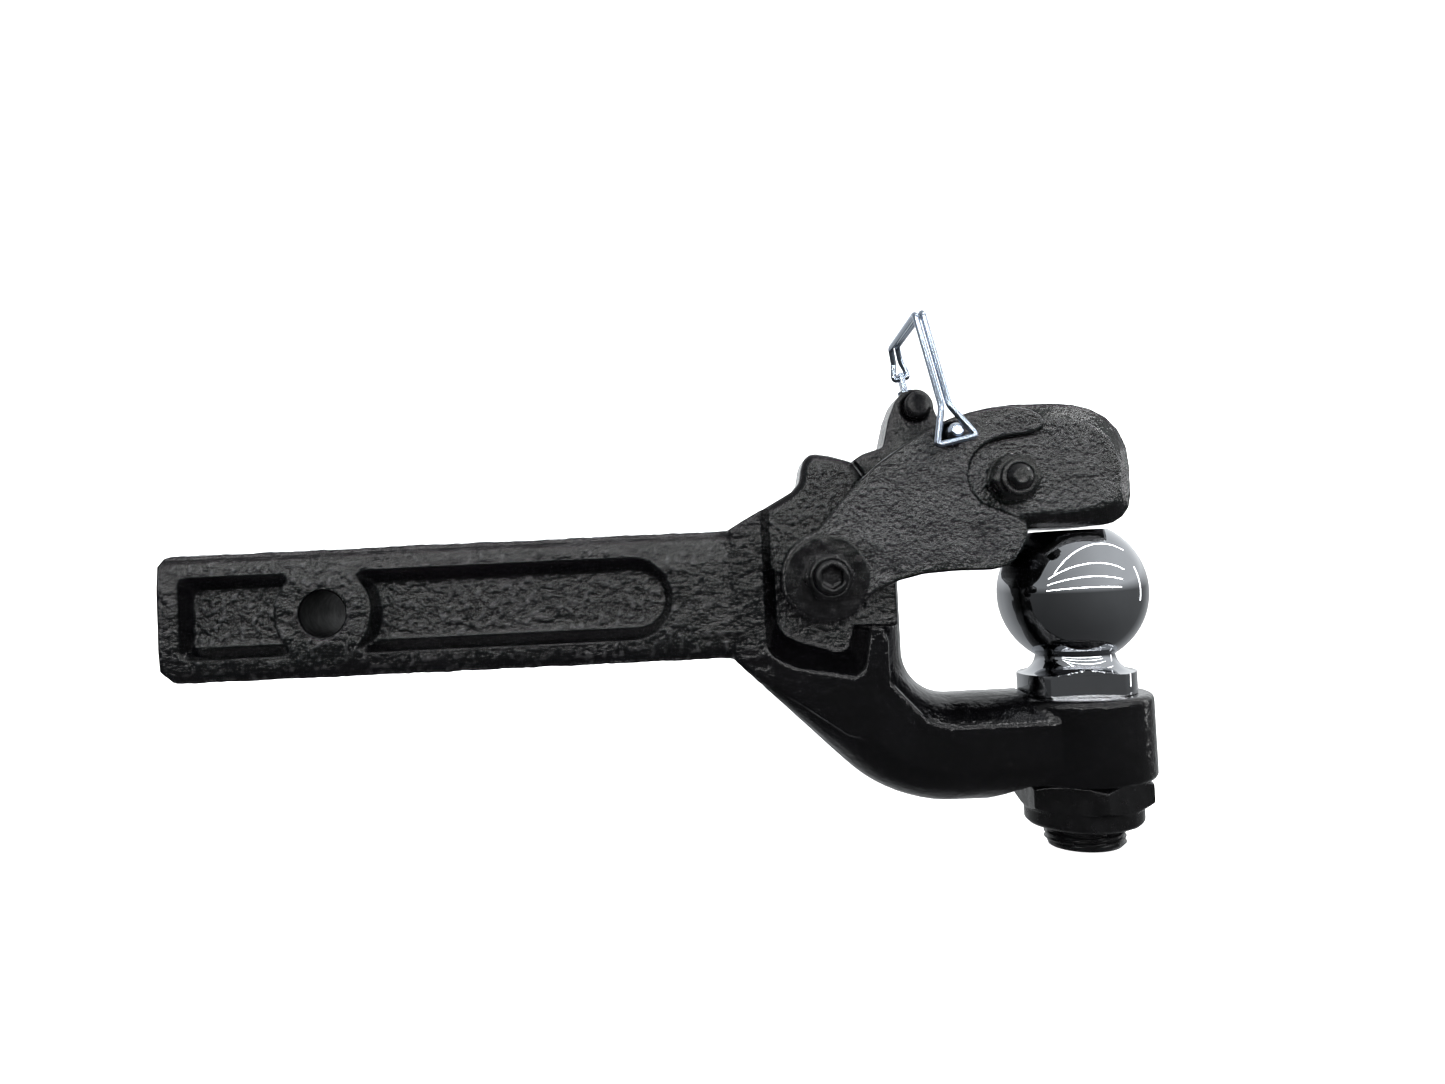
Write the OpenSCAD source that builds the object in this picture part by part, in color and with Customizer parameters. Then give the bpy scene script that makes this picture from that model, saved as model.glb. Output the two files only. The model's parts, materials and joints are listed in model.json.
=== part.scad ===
// Combination trailer hitch: a pintle hook with a latching jaw, and a tow ball.
// Millimetres. +X points from the hitch pin hole to the tow ball, +Z is up, and
// Y runs across the hitch. The origin is the centre of the hitch pin hole.
// The model is the same on both sides of Y = 0, apart from bolts and the safety pin.

/* [Shank] */
// Width and height of the square shank
shank_size = 50; // [49:0.5:50.8]
// From the hitch pin hole's centre to the shank's free end
shank_tail = 63; // [60:0.5:75]
// From the hitch pin hole's centre to the shoulder of the hook
shank_reach = 157; // [156:0.5:158]
// Radius along the shank's long edges
shank_round = 5; // [3:0.5:6]
// Diameter of the hitch pin hole
pin_hole_d = 17.5; // [16.5:0.25:18]
// Depth of the lightening pockets in the shank's sides
pocket_depth = 8; // [4:0.5:9]
// Half the height of a pocket at its mouth
pocket_half = 15.9; // [14:0.1:17]

/* [Hook body] */
// Width of the shoulder and the horn
body_w = 51.6; // [51:0.2:52]
// Thickness of the web that the jaw straddles
web_w = 28; // [27:0.5:28]
// Inner radius of the throat at the crown of the horn
throat_r = 18; // [17:0.5:19]
// Height of the horn's section at its crown
horn_h = 43; // [42:0.5:44]

/* [Jaw] */
// Pivot distance from the hitch pin hole
pivot_x = 193; // [192.5:0.1:193.5]
// Pivot height
pivot_z = 5; // [4.5:0.1:5.5]
// Width over the jaw's cheeks
jaw_w = 53; // [52.5:0.5:54]
// Width of the jaw's nose
nose_w = 45; // [44:0.5:46]
// Width of the slot that holds the latch
slot_w = 21.2; // [21.2:0.2:22]
// Diameter of the pivot bolt
pivot_bolt_d = 12.7; // [12:0.1:12.7]

/* [Latch] */
// Latch bolt distance from the hitch pin hole
latch_x = 266.5; // [266:0.1:267]
// Latch bolt height
latch_z = 39.3; // [39:0.1:39.6]
// Width of the latch lever
latch_w = 20; // [19:0.5:20]
// Diameter of the latch bolt
latch_bolt_d = 10; // [9.5:0.1:10]
// Diameter of the handle bar
bar_d = 10.6; // [9:0.2:11]
// Length of the handle bar
bar_len = 34; // [30:1:40]

/* [Tow ball] */
// Ball distance from the hitch pin hole
ball_x = 295; // [294.5:0.1:295.5]
// Height of the ball's centre
ball_z = -6; // [-6.5:0.1:-5.8]
// Ball diameter, 2-5/16 in
ball_d = 58.74; // [58.4:0.01:58.8]
// Diameter of the threaded stud, 1-1/4 in
stud_d = 31.75; // [31:0.05:31.75]
// Diameter of the ball's base
base_d = 46.4; // [45:0.2:49]
// Size of the ball nut across its flats
ball_nut_af = 47.6; // [46:0.1:48]

/* [Safety pin] */
// Safety pin distance from the hitch pin hole
spin_x = 242.9; // [242.5:0.1:243.2]
// Safety pin height
spin_z = 57.3; // [57:0.1:57.6]
// Diameter of the safety pin
spin_d = 6.35; // [6:0.05:6.35]
// Lean of the pin's head and bail towards the shank
spin_lean = 11.5; // [10:0.5:13]
// Diameter of the bail wire
wire_d = 2.6; // [2.2:0.1:2.8]

/* [Hidden] */
$fn = 64;

// Clearances
run_fit = 0.05;
touch_gap = 0.3;

// Shank and pockets
shank_half = shank_size / 2;
pocket_draft_z = 4.9;
pocket_draft_x = 2.5;
pocket_round = 3;
hole_land_r = 18.4;
short_pocket_x = -shank_tail + 8;
long_pocket_end = 133.3;

// Throat centre and the horn's section, as a distance from that centre
throat_x = 242;
throat_z = -26;
horn_half = body_w / 2 - 0.8;
crown_in_r = 34.6;
crown_out_r = 28.3;
keel_z = throat_z - throat_r - horn_h;

// Ball seat on the horn
seat_z = -46.5;
seat_r = 29;
seat_h = 33.5;
seat_round = 2.2;

// Hook web and jaw
web_half = web_w / 2;
web_arc_r = 31;
crown_set_back = 3.4;
bridge_arc_r = 32.4;
tooth_sweep_r = 52.2;
tooth_top = 54;
flank_angle = 57;
cheek_in = web_half + touch_gap;
cheek_out = jaw_w / 2;
nose_half = nose_w / 2;
nose_edge = 5.5;
cheek_eye_r = 18;

// Latch: its lift follows the jaw at a constant ratio
jaw_open_max = 50;
latch_ratio = 0.75;
latch_lift_max = jaw_open_max * latch_ratio;
latch_boss_r = 11;
boss_pocket_r = 12.4;
spring_pocket_r = 12.2;
spring_side = 2.4;
bar_x = 233.5;
bar_z = 71;
sleeve_r = 6.5;

// Pins, bolts and nuts
bush_r = 9.5;
washer_t = 1.6;
pivot_washer_r = 16.3;
pivot_nut_af = 17;
pivot_socket_af = 7.6;
latch_nut_af = 17;
spin_hole_r = 4;
pin_tip = 38;
pin_head_y = 30.2;
head_eye = 33.5;
wire_r = wire_d / 2;

// Ball nut
nut_h = 11.5;
collar_h = 6.8;
stud_end = -107.3;

// Points along an arc in the XZ plane
function arc(x, z, r, a0, a1, n) =
    [for (i = [0:n]) let (a = a0 + (a1 - a0) * i / n) [x + r * cos(a), z + r * sin(a)]];

// A plate of an XZ outline, centred on Y = 0
module plate(points, half) {
    rotate([90, 0, 0])
        linear_extrude(height = 2 * half, center = true)
            polygon(points);
}

// A cylinder along Y from y0 to y1
module rod_y(x, z, r, y0, y1) {
    translate([x, y0, z])
        rotate([-90, 0, 0])
            cylinder(h = y1 - y0, r = r);
}

// A hexagon along Y from y0 to y1
module hex_y(x, z, af, y0, y1, turn = 0) {
    translate([x, y0, z])
        rotate([-90, 0, 0])
            rotate([0, 0, turn])
                cylinder(h = y1 - y0, d = af / cos(30), $fn = 6);
}

// A hexagon nut along Y with its corners turned down
module chamfered_hex_y(x, z, af, y0, y1, turn = 0) {
    cut = 0.12 * af;
    intersection() {
        hex_y(x, z, af, y0, y1, turn);
        translate([x, y0, z])
            rotate([-90, 0, 0])
                rotate_extrude()
                    polygon([
                        [0, 0], [af / 2 - 0.3, 0], [af / 2 + cut, cut * 0.6],
                        [af / 2 + cut, y1 - y0 - cut * 0.6], [af / 2 - 0.3, y1 - y0], [0, y1 - y0]
                    ]);
    }
}

// Unit vector, and a path's direction at one of its points
function unit(v) = v / norm(v);
function heading(path, i) = unit(path[min(i + 1, len(path) - 1)] - path[max(i - 1, 0)]);

// One vector across the path at each point, carried along without twisting
function across(path, i = 0, last = undef, out = []) =
    i == len(path) ? out :
    let (
        t = heading(path, i),
        start = abs(t[1]) < 0.9 ? [0, 1, 0] : [1, 0, 0],
        n = i == 0 ? unit(cross(t, start)) : unit(last - (last * t) * t)
    )
    across(path, i + 1, n, concat(out, [n]));

// A path with each inner corner rounded, bend being the length taken off each side
function rounded(path, bend, steps) = [
    path[0],
    for (i = [1:len(path) - 2], k = [0:steps])
        let (
            p = path[i],
            a = p + min(bend, norm(path[i - 1] - p) * 0.45) * unit(path[i - 1] - p),
            b = p + min(bend, norm(path[i + 1] - p) * 0.45) * unit(path[i + 1] - p),
            t = k / steps
        )
        (1 - t) * (1 - t) * a + 2 * t * (1 - t) * p + t * t * b,
    path[len(path) - 1]
];

// A round wire swept along a path as one closed surface
module swept_wire(path, r, sides) {
    n = across(path);
    last = len(path) - 1;
    points = [
        for (i = [0:last], j = [0:sides - 1])
            let (b = cross(heading(path, i), n[i]), a = j * 360 / sides)
            path[i] + r * (cos(a) * n[i] + sin(a) * b)
    ];
    walls = [
        for (i = [0:last - 1], j = [0:sides - 1])
            let (k = (j + 1) % sides)
            [i * sides + j, (i + 1) * sides + j, (i + 1) * sides + k, i * sides + k]
    ];
    caps = [
        [for (j = [0:sides - 1]) j],
        [for (j = [sides - 1:-1:0]) last * sides + j]
    ];
    polyhedron(points = points, faces = concat(walls, caps), convexity = 8);
}

/* ---- hook body ---- */

module rounded_square(size, r) {
    square([size - 2 * r, size], center = true);
    square([size, size - 2 * r], center = true);
    for (sx = [-1, 1], sy = [-1, 1])
        translate([sx * (size / 2 - r), sy * (size / 2 - r)])
            circle(r = r);
}

module shank_bar() {
    length = shank_tail + shank_reach;
    intersection() {
        translate([-shank_tail, 0, 0])
            rotate([0, 90, 0])
                linear_extrude(height = length)
                    rounded_square(shank_size, shank_round);
        plate([
            [shank_reach + 1, shank_half], [-shank_tail + 4, shank_half],
            [-shank_tail + 1.2, shank_half - 1.2], [-shank_tail, shank_half - 4],
            [-shank_tail, -shank_half + 5.5], [-shank_tail + 4.5, -shank_half],
            [shank_reach + 1, -shank_half]
        ], shank_half + 1);
    }
}

// A pocket with drafted walls, cut into the +Y side; x0 and x1 are its ends at the mouth
module pocket(x0, x1, round_end) {
    difference() {
        hull() {
            for (k = [0, 1]) {
                inset_x = k * pocket_draft_x;
                half = pocket_half - k * pocket_draft_z;
                y = shank_half - k * pocket_depth;
                for (sz = [-1, 1])
                    rod_y(x0 + inset_x + pocket_round, sz * (half - pocket_round),
                        pocket_round, y, y + 0.01, $fn = 24);
                if (round_end)
                    rod_y(x1 - inset_x - half, 0, half, y, y + 0.01, $fn = 48);
                else
                    for (sz = [-1, 1])
                        rod_y(x1 - inset_x - pocket_round, sz * (half - pocket_round),
                            pocket_round, y, y + 0.01, $fn = 24);
            }
        }
        // Land left standing around the hitch pin hole
        translate([0, shank_half - pocket_depth - 1, 0])
            rotate([-90, 0, 0])
                cylinder(h = pocket_depth + 2, r1 = hole_land_r + pocket_draft_x, r2 = hole_land_r);
    }
}

module pockets() {
    for (side = [0, 1])
        mirror([0, side, 0]) {
            pocket(short_pocket_x, -13, false);
            pocket(13, long_pocket_end, true);
        }
}

// The horn's section: X is the distance from the throat's centre, Y runs across
module horn_section() {
    intersection() {
        translate([throat_r, -horn_half])
            square([horn_h, 2 * horn_half]);
        translate([throat_r + crown_in_r, 0])
            circle(r = crown_in_r);
        translate([throat_r + horn_h - crown_out_r, 0])
            circle(r = crown_out_r);
    }
}

module horn_ring(angle_from, angle) {
    translate([throat_x, 0, throat_z])
        rotate([90, 0, 0])
            rotate([0, 0, angle_from])
                rotate_extrude(angle = angle)
                    horn_section();
}

module horn_arm() {
    difference() {
        translate([throat_x, 0, throat_z])
            rotate([0, 90, 0])
                linear_extrude(height = ball_x - throat_x - 16)
                    horn_section();
        // The keel rises to the underside of the ball seat
        plate([
            [throat_x + 11, keel_z - 1], [throat_x + 11, keel_z + 0.2],
            [ball_x - 27, seat_z - seat_h], [ball_x, seat_z - seat_h],
            [ball_x, keel_z - 1]
        ], 40);
        // Spot face for the ball's base
        translate([ball_x, 0, seat_z])
            cylinder(h = 20, r = base_d / 2 + 0.6);
    }
}

// Straight leg of the horn between the throat's curve and the web
module horn_leg(height, half) {
    intersection() {
        translate([throat_x, 0, throat_z])
            mirror([1, 0, 0])
                linear_extrude(height = height)
                    horn_section();
        translate([throat_x - 60, -half, throat_z - 1])
            cube([60 - throat_r + 1, 2 * half, height + 2]);
    }
}

// Keel that grows from the shank's underside to the horn
module keel() {
    hull() {
        translate([shank_reach, -horn_half, -26])
            cube([1, 2 * horn_half, 48]);
        horn_ring(224, 1, $fn = 32);
    }
}

module ball_seat() {
    translate([ball_x, 0, seat_z - seat_h])
        rotate_extrude()
            polygon([
                [0, 0], [seat_r - 1.5, 0], [seat_r, 1.5], [seat_r, seat_h - seat_round],
                [seat_r - seat_round * 0.3, seat_h - seat_round * 0.3], [seat_r - seat_round, seat_h],
                [0, seat_h]
            ]);
}

// Full width part of the hook: shoulder, lower corner and finger
body_outline = concat(
    [[shank_reach - 1, -25.2], [shank_reach + 1, -26.2], [198.4, -55.6], [209.5, -58.5], [228, -50], [215.4, -36]],
    [[215.4, -20], [213.8, -15.8], [211.5, -14.6], [208, -15], [172, -10]],
    [[172, 33.5], [168, 31.6], [160.5, 27.4], [shank_reach - 1, 25]]
);

// Web between the jaw's cheeks, with the tooth that the latch hooks on
web_outline = concat(
    [[165, 30.2], [182.4, 39.6], [185.3, 43], [186.3, 48.5], [187.6, 52], [190, tooth_top]],
    [[192.6, tooth_top + 0.2], [198.5, 53], [206.6, 50.4]],
    [[206.6 + 10.6 * cos(flank_angle), 50.4 - 10.6 * sin(flank_angle)], [209, 37]],
    arc(pivot_x, pivot_z, web_arc_r, 56, 4, 8),
    [[pivot_x + web_arc_r - crown_set_back, pivot_z - 0.5]],
    [[pivot_x + web_arc_r - crown_set_back, -26], [214, -40], [180, -32], [165, -20]]
);

// Hollow for a jaw cheek in the +Y side, with sloping walls
module cheek_recess() {
    hull() {
        rotate([90, 0, 0])
            translate([0, 0, -body_w / 2 - 0.01])
                linear_extrude(height = 0.01)
                    polygon([
                        [168.8, 62], [168.8, -21], [172.3, -26.2], [178.2, -29.2],
                        [202.3, -34.3], [206.6, -32], [209.3, -18], [209.3, 62]
                    ]);
        rotate([90, 0, 0])
            translate([0, 0, -web_half])
                linear_extrude(height = 0.01)
                    polygon([
                        [173.5, 62], [173.8, -12], [177, -17], [183, -20],
                        [197.5, -24.6], [201, -23], [203.6, -15], [203.6, 62]
                    ]);
    }
}

module hitch_body() {
    color("#17181a")
    difference() {
        union() {
            shank_bar();
            difference() {
                union() {
                    plate(body_outline, horn_half);
                    plate([[shank_reach, -25.4], [172, -25.4], [172, 33.5], [160.5, 27.4],
                        [shank_reach, 25.4]], body_w / 2);
                    keel();
                    horn_leg(11, horn_half);
                    horn_ring(180, 90);
                }
                for (side = [0, 1])
                    mirror([0, side, 0])
                        cheek_recess();
            }
            plate(web_outline, web_half);
            horn_leg(31, web_half);
            horn_arm();
            ball_seat();
        }
        pockets();
        rod_y(0, 0, pin_hole_d / 2, -shank_half - 1, shank_half + 1);
        rod_y(pivot_x, pivot_z, bush_r, -web_half - 1, web_half + 1);
        translate([ball_x, 0, seat_z - seat_h - 5])
            cylinder(h = seat_h + 10, d = stud_d + 0.2);
    }
}

/* ---- pivot ---- */

module pivot_bush() {
    color("#6d6f72")
    difference() {
        rod_y(pivot_x, pivot_z, bush_r, -web_half - 0.15, web_half + 0.15);
        rod_y(pivot_x, pivot_z, pivot_bolt_d / 2 + run_fit, -web_half - 1, web_half + 1);
    }
}

pivot_seat = cheek_out + 0.15;

module pivot_washers() {
    color("#1d1e20")
    for (y0 = [-pivot_seat - washer_t, pivot_seat])
        difference() {
            rod_y(pivot_x, pivot_z, pivot_washer_r, y0, y0 + washer_t);
            rod_y(pivot_x, pivot_z, pivot_bolt_d / 2 + 0.2, y0 - 1, y0 + washer_t + 1);
        }
}

pivot_nut_y = -pivot_seat - washer_t;
pivot_nut_h = 11.2;
pivot_collar_r = 8;
pivot_collar_h = 2.4;
pivot_end = -46.2;
pivot_socket_depth = 4;

module pivot_bolt() {
    head_y = pivot_seat + washer_t;
    color("#202124")
    difference() {
        union() {
            rod_y(pivot_x, pivot_z, pivot_bolt_d / 2, pivot_end + 0.8, head_y + 2);
            translate([pivot_x, pivot_end, pivot_z])
                rotate([-90, 0, 0])
                    cylinder(h = 0.8, r1 = pivot_bolt_d / 2 - 0.8, r2 = pivot_bolt_d / 2);
            chamfered_hex_y(pivot_x, pivot_z, pivot_nut_af, head_y, head_y + 8, 10);
        }
        // Hexagon socket in the threaded end
        hex_y(pivot_x, pivot_z, pivot_socket_af, pivot_end - 1, pivot_end + pivot_socket_depth, 30);
    }
}

// A lock nut along Y: hexagon towards +Y, round collar towards -Y
module lock_nut(x, z, af, bore_r, y_seat, hex_h, col_r, col_h, turn) {
    difference() {
        union() {
            chamfered_hex_y(x, z, af, y_seat - hex_h, y_seat, turn);
            rod_y(x, z, col_r, y_seat - hex_h - col_h, y_seat - hex_h + 0.6);
        }
        rod_y(x, z, bore_r, y_seat - hex_h - col_h - 1, y_seat + 1);
        rod_y(x, z, col_r - 1, y_seat - hex_h - col_h + 0.7, y_seat - hex_h + 0.1);
    }
}

// The nylon ring held in a lock nut's collar
module lock_ring(x, z, bore_r, y_seat, hex_h, col_r, col_h) {
    difference() {
        rod_y(x, z, col_r - 1, y_seat - hex_h - col_h + 0.7, y_seat - hex_h + 0.1);
        rod_y(x, z, bore_r, y_seat - hex_h - col_h, y_seat - hex_h + 1);
    }
}

module pivot_nut() {
    color("#202124")
    lock_nut(pivot_x, pivot_z, pivot_nut_af, pivot_bolt_d / 2 + 0.02, pivot_nut_y,
        pivot_nut_h, pivot_collar_r, pivot_collar_h, 0);
}

module pivot_nut_insert() {
    color("#2b2f38")
    lock_ring(pivot_x, pivot_z, pivot_bolt_d / 2 + 0.01, pivot_nut_y, pivot_nut_h,
        pivot_collar_r, pivot_collar_h);
}

/* ---- tow ball ---- */

module tow_ball() {
    flat_top = ball_z + 25;
    neck_r = 15.5;
    flare_r = 7.7;
    flare_z = -30.3;
    base_top = -37.8;
    wrench_flat = 18.2;
    color("#c9ccd0")
    union() {
        intersection() {
            translate([ball_x, 0, ball_z])
                sphere(d = ball_d, $fn = 96);
            translate([ball_x, 0, flat_top - 60])
                cylinder(h = 60, r = 40);
        }
        difference() {
            translate([ball_x, 0, seat_z])
                cylinder(h = flare_z - seat_z + 4, r = neck_r + flare_r);
            translate([ball_x, 0, flare_z])
                rotate_extrude()
                    translate([neck_r + flare_r, 0])
                        circle(r = flare_r, $fn = 48);
            translate([ball_x, 0, flare_z - 0.01])
                difference() {
                    cylinder(h = 10, r = 40);
                    translate([0, 0, -1])
                        cylinder(h = 12, r = neck_r);
                }
            ball_flats(wrench_flat);
        }
        difference() {
            translate([ball_x, 0, seat_z])
                cylinder(h = base_top - seat_z, d = base_d);
            ball_flats(wrench_flat);
        }
        translate([ball_x, 0, stud_end + 1.5])
            cylinder(h = seat_z - stud_end, d = stud_d);
        translate([ball_x, 0, stud_end])
            cylinder(h = 1.5, d1 = stud_d - 3, d2 = stud_d);
    }
}

// Cutters for the two wrench flats on the ball's base
module ball_flats(half) {
    translate([ball_x, 0, seat_z])
        rotate([0, 0, -5])
            for (s = [-1, 1])
                translate([-40, s > 0 ? half : -half - 20, -1])
                    cube([80, 20, 14.5]);
}

nut_top = seat_z - seat_h;
collar_r = 23.2;
ring_r = 20.6;

module ball_nut() {
    color("#1b1c1e")
    difference() {
        union() {
            intersection() {
                translate([ball_x, 0, nut_top - nut_h])
                    rotate([0, 0, 30])
                        cylinder(h = nut_h, d = ball_nut_af / cos(30), $fn = 6);
                translate([ball_x, 0, nut_top - nut_h])
                    rotate_extrude()
                        polygon([
                            [0, 0], [ball_nut_af / 2 - 0.4, 0], [ball_nut_af / 2 + 4, 2.4],
                            [ball_nut_af / 2 + 4, nut_h - 2], [ball_nut_af / 2, nut_h], [0, nut_h]
                        ]);
            }
            translate([ball_x, 0, nut_top - nut_h - collar_h])
                rotate_extrude()
                    polygon([
                        [0, 0], [collar_r - 1.5, 0], [collar_r, 1.5],
                        [collar_r, collar_h + 1], [0, collar_h + 1]
                    ]);
        }
        translate([ball_x, 0, nut_top - 40])
            cylinder(h = 60, d = stud_d + 0.06);
        translate([ball_x, 0, nut_top - nut_h - collar_h + 1.2])
            cylinder(h = collar_h - 2, r = ring_r);
    }
}

module ball_nut_insert() {
    color("#2b2f38")
    translate([ball_x, 0, nut_top - nut_h - collar_h + 1.2])
        difference() {
            cylinder(h = collar_h - 2, r = ring_r);
            translate([0, 0, -1])
                cylinder(h = collar_h, d = stud_d + 0.04);
        }
}

/* ---- jaw ---- */

cheek_outline = concat(
    arc(pivot_x, pivot_z, cheek_eye_r, 303, 116, 14),
    [[190.3, 23.6], [195.3, 29], [201, 35.6], [207.5, 41.8], [214, 47.2], [221.3, 52.1]],
    [[228.8, 56.9], [236, 60.7], [243.5, 64], [250.3, 66.1], [258, 67.4], [267, 67.4]],
    [[274, 65.9], [278.2, 63.4], [279.6, 60.6], [278.8, 58.2], [275, 56.3], [265, 55.3]],
    [[258, 53.6], [253.4, 50.6], [250.4, 46.4], [249.3, 41], [250.6, 35.6], [254, 31]],
    [[260.5, 28], [266.5, 25.4], [270.6, 22.4], [271.4, 19.2], [269.3, 14.6], [265.4, 8.2]],
    [[262, 5.8], [256.5, 4.6], [240, 4.7], [230, 4.2], [221, 2.2], [212.5, -1.4], [205.8, -6.2]]
);

nose_outline = [
    [246, 60], [249, 64.5], [254, 67.3], [262, 68.9], [272, 69.5], [284, 69.2], [294, 68.3], [300.5, 66.5], [306.5, 62.8],
    [311, 57.8], [314, 50.5], [314.9, 43], [314.9, 32], [313.8, 26.8], [311, 23], [307, 20.6],
    [302, 19.8], [262, 19.8], [249, 21], [246, 26]
];

nose_face = [
    [247, 57], [250, 61.8], [281.2, 61.8], [291.6, 61.3], [296.9, 59.7], [302.4, 56], [306.5, 50.4],
    [308.8, 43.4], [308.7, 32.6], [306.9, 29.2], [301.2, 26.9], [266, 25.6], [250, 24], [247, 28]
];

// Gap between the cheeks that straddles the web and clears the tooth as the jaw opens
web_gap_outline = concat(
    [[150, 90], [150, -60]],
    arc(pivot_x, pivot_z, bridge_arc_r, -70, 7, 6),
    arc(pivot_x, pivot_z, tooth_sweep_r, 9.8, 120, 12)
);

// Slot that the latch swings in: it lifts out at the top
slot_outline = concat(
    [[200, 90], [200, 30], [pivot_x + bridge_arc_r, 9]],
    [[244, 13.6], [250, 16.5], [256, 22]],
    arc(latch_x, latch_z, boss_pocket_r, 250, 360, 10),
    [[latch_x + boss_pocket_r, latch_z + 6], [latch_x + 7, latch_z + 12], [latch_x + 5, 90]]
);

module jaw() {
    color("#17181a")
    difference() {
        union() {
            plate(cheek_outline, cheek_out);
            hull() {
                plate(nose_outline, nose_half - nose_edge);
                plate(nose_face, nose_half);
            }
        }
        plate(web_gap_outline, cheek_in);
        plate(slot_outline, slot_w / 2);
        rod_y(pivot_x, pivot_z, pivot_bolt_d / 2 + run_fit, -40, 40);
        rod_y(latch_x, latch_z, latch_bolt_d / 2 + 0.1, -40, 40);
        rod_y(spin_x, spin_z, spin_hole_r, -40, 40);
    }
}

/* ---- latch ---- */

latch_outline = [
    [225.3, 73.5], [222.5, 67], [219.6, 55.6], [211.5, 53.4], [207.3, 50.9],
    [207.3 + 10.6 * cos(flank_angle), 50.9 - 10.6 * sin(flank_angle)],
    [222, 33.5], [240, 28.9], [262, 28.9], [270, 36], [268, 50], [258, 55.5], [247, 62],
    [242.8, 65.2], [240.6, 71], [235, 77.5], [228.5, 77.3]
];

// Curved slot that the safety pin passes through
module pin_slot() {
    reach = norm([spin_x - latch_x, spin_z - latch_z]);
    start = atan2(spin_z - latch_z, spin_x - latch_x);
    slot_r = spin_d / 2 + 0.45;
    end_r = spin_d / 2 + 0.4;
    translate([latch_x, 0, latch_z])
        rotate([90, 0, 0])
            linear_extrude(height = latch_w + 2, center = true) {
                intersection() {
                    difference() {
                        circle(r = reach + slot_r);
                        circle(r = reach - slot_r);
                    }
                    polygon([[0, 0], 90 * [cos(start), sin(start)],
                        90 * [cos(start + latch_lift_max), sin(start + latch_lift_max)]]);
                }
                for (a = [start, start + latch_lift_max])
                    rotate([0, 0, a])
                        translate([reach, 0])
                            circle(r = end_r);
            }
}

module latch() {
    color("#1b1c1e")
    difference() {
        union() {
            plate(latch_outline, latch_w / 2);
            rod_y(latch_x, latch_z, latch_boss_r, -latch_w / 2, latch_w / 2);
            rod_y(bar_x, bar_z, bar_d / 2 + 2.2, -latch_w / 2, latch_w / 2);
        }
        pin_slot();
        rod_y(latch_x, latch_z, sleeve_r + 0.06, -20, 20);
        rod_y(latch_x, latch_z, spring_pocket_r + 0.1, spring_side, 20);
        rod_y(bar_x, bar_z, bar_d / 2, -20, 20);
        // The lever's tail is trimmed to the boss, so that it turns inside the nose
        difference() {
            plate([[latch_x, 0], [latch_x + 30, 0], [latch_x + 30, 90], [latch_x, 90]], 30);
            rod_y(latch_x, latch_z, latch_boss_r, -40, 40);
        }
    }
}

module latch_handle_bar() {
    half = bar_len / 2;
    edge = 1;
    color("#202124")
    union() {
        rod_y(bar_x, bar_z, bar_d / 2, -half + edge, half - edge);
        translate([bar_x, -half, bar_z])
            rotate([-90, 0, 0])
                cylinder(h = edge, r1 = bar_d / 2 - edge, r2 = bar_d / 2);
        translate([bar_x, half, bar_z])
            rotate([90, 0, 0])
                cylinder(h = edge, r1 = bar_d / 2 - edge, r2 = bar_d / 2);
    }
}

latch_seat = nose_half;
latch_nut_y = -latch_seat - washer_t;
latch_nut_h = 7.2;
latch_collar_r = 6.9;
latch_collar_h = 2.4;
latch_end = -36;
latch_taper = 2;

module latch_washers() {
    color("#1d1e20")
    for (y0 = [-latch_seat - washer_t, latch_seat])
        difference() {
            rod_y(latch_x, latch_z, 10, y0, y0 + washer_t);
            rod_y(latch_x, latch_z, latch_bolt_d / 2 + 0.2, y0 - 1, y0 + washer_t + 1);
        }
}

module latch_bolt() {
    head_y = latch_seat + washer_t;
    color("#202124")
    union() {
        rod_y(latch_x, latch_z, latch_bolt_d / 2, latch_end + latch_taper, head_y + 2);
        translate([latch_x, latch_end, latch_z])
            rotate([-90, 0, 0])
                cylinder(h = latch_taper, r1 = latch_bolt_d / 2 - latch_taper, r2 = latch_bolt_d / 2);
        chamfered_hex_y(latch_x, latch_z, latch_nut_af, head_y, head_y + 6.4, 20);
    }
}

module latch_nut() {
    color("#202124")
    lock_nut(latch_x, latch_z, latch_nut_af, latch_bolt_d / 2 + 0.02, latch_nut_y,
        latch_nut_h, latch_collar_r, latch_collar_h, 0);
}

module latch_nut_insert() {
    color("#2b2f38")
    lock_ring(latch_x, latch_z, latch_bolt_d / 2 + 0.01, latch_nut_y, latch_nut_h,
        latch_collar_r, latch_collar_h);
}

module latch_sleeve() {
    color("#6d6f72")
    difference() {
        rod_y(latch_x, latch_z, sleeve_r, -slot_w / 2, slot_w / 2);
        rod_y(latch_x, latch_z, latch_bolt_d / 2 + 0.03, -20, 20);
    }
}

// Torsion spring around the sleeve
module latch_spring() {
    coil_r = 8.7;
    strand_r = 0.9;
    turns = 3;
    per_turn = 18;
    start_y = spring_side + 1.4;
    pitch = 2 * strand_r + 0.15;
    helix = [
        for (i = [0:turns * per_turn])
            let (a = i * 360 / per_turn)
            [latch_x + coil_r * cos(a), start_y + pitch * i / per_turn, latch_z + coil_r * sin(a)]
    ];
    color("#9a9da1")
    swept_wire(helix, strand_r, 8);
}

/* ---- safety pin and bail ---- */

// Frame of the pin's head: X across the head, Z up along it, origin on the pin's axis
module head_frame() {
    translate([spin_x, 0, spin_z])
        rotate([0, -spin_lean, 0])
            children();
}

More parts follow.
